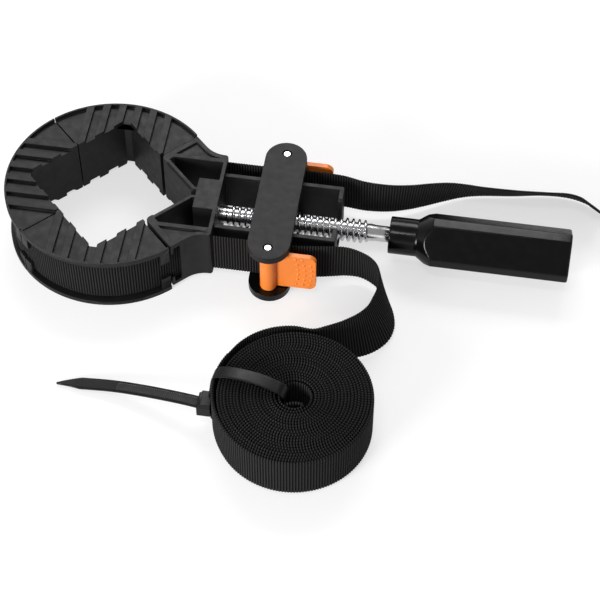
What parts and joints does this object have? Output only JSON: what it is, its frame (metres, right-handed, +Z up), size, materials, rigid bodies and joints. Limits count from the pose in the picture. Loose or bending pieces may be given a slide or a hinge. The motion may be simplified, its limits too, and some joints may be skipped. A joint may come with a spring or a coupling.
{
  "type": "band clamp",
  "caption": "Webbing band clamp with loose right-angle corner pads, a V jaw and a screw crosshead that grips the band in cam levers.",
  "frame": {"origin": "middle of the underside of the lower crosshead plate, on the plane that the clamp rests on", "axes": "+X along the screw toward the handle, +Y to the side where the band's free tail leaves, +Z up from the table"},
  "size_m": [0.2991, 0.1985, 0.0336],
  "materials": {
    "black_nylon": "satin moulded black nylon",
    "gloss_black": "glossy black",
    "orange_nylon": "moulded orange nylon",
    "zinc_steel": "bright zinc plate",
    "webbing": "ribbed black webbing",
    "tie_nylon": "smooth black nylon"
  },
  "bodies": {
    "frame": {"frame_jaw": "black_nylon", "band_loop": "webbing", "band_lead": "webbing", "band_coil": "webbing", "band_inner_end": "webbing", "cable_tie": "tie_nylon"},
    "spindle": {"spindle": "zinc_steel", "handle": "gloss_black"},
    "crosshead": {"crosshead_plate_lower": "black_nylon", "crosshead_plate_upper": "black_nylon", "crosshead_core": "black_nylon", "nut": "zinc_steel", "rivet_back": "zinc_steel", "rivet_front": "zinc_steel", "band_tail": "webbing"},
    "lever_back": {"cam_lever_back": "orange_nylon"},
    "lever_front": {"cam_lever_front": "orange_nylon"},
    "pad_back": {"pad_back": "black_nylon"},
    "pad_far": {"pad_far": "black_nylon"},
    "pad_front": {"pad_front": "black_nylon"}
  },
  "joints": [
    {"name": "crosshead_slide", "type": "slide", "parent": "frame", "child": "crosshead", "axis": [-1, 0, 0], "range_m": [0, 0.018], "deforming": ["band_loop", "band_lead"]},
    {"name": "spindle_turn", "type": "hinge", "parent": "frame", "child": "spindle", "pos_m": [0, 0, 0.0168], "axis": [1, 0, 0], "range_deg": [0, 2160]},
    {"name": "lever_back_swing", "type": "hinge", "parent": "crosshead", "child": "lever_back", "pos_m": [0, 0.03037, 0.0168], "axis": [0, 0, 1], "range_deg": [0, 55]},
    {"name": "lever_front_swing", "type": "hinge", "parent": "crosshead", "child": "lever_front", "pos_m": [0, -0.03037, 0.0168], "axis": [0, 0, -1], "range_deg": [0, 55]},
    {"name": "pad_back_slide", "type": "slide", "parent": "frame", "child": "pad_back", "axis": [-0.7071, 0.7071, 0], "range_m": [0, 0.009]},
    {"name": "pad_far_slide", "type": "slide", "parent": "frame", "child": "pad_far", "axis": [-1, 0, 0], "range_m": [0, 0.01273]},
    {"name": "pad_front_slide", "type": "slide", "parent": "frame", "child": "pad_front", "axis": [-0.7071, -0.7071, 0], "range_m": [0, 0.009]}
  ],
  "couplings": [
    {"joint": "spindle_turn", "follows": "crosshead_slide", "rad_per_m": 2094.4},
    {"joint": "pad_back_slide", "follows": "crosshead_slide", "ratio": 0.4999},
    {"joint": "pad_far_slide", "follows": "crosshead_slide", "ratio": 0.70705},
    {"joint": "pad_front_slide", "follows": "crosshead_slide", "ratio": 0.4999}
  ]
}
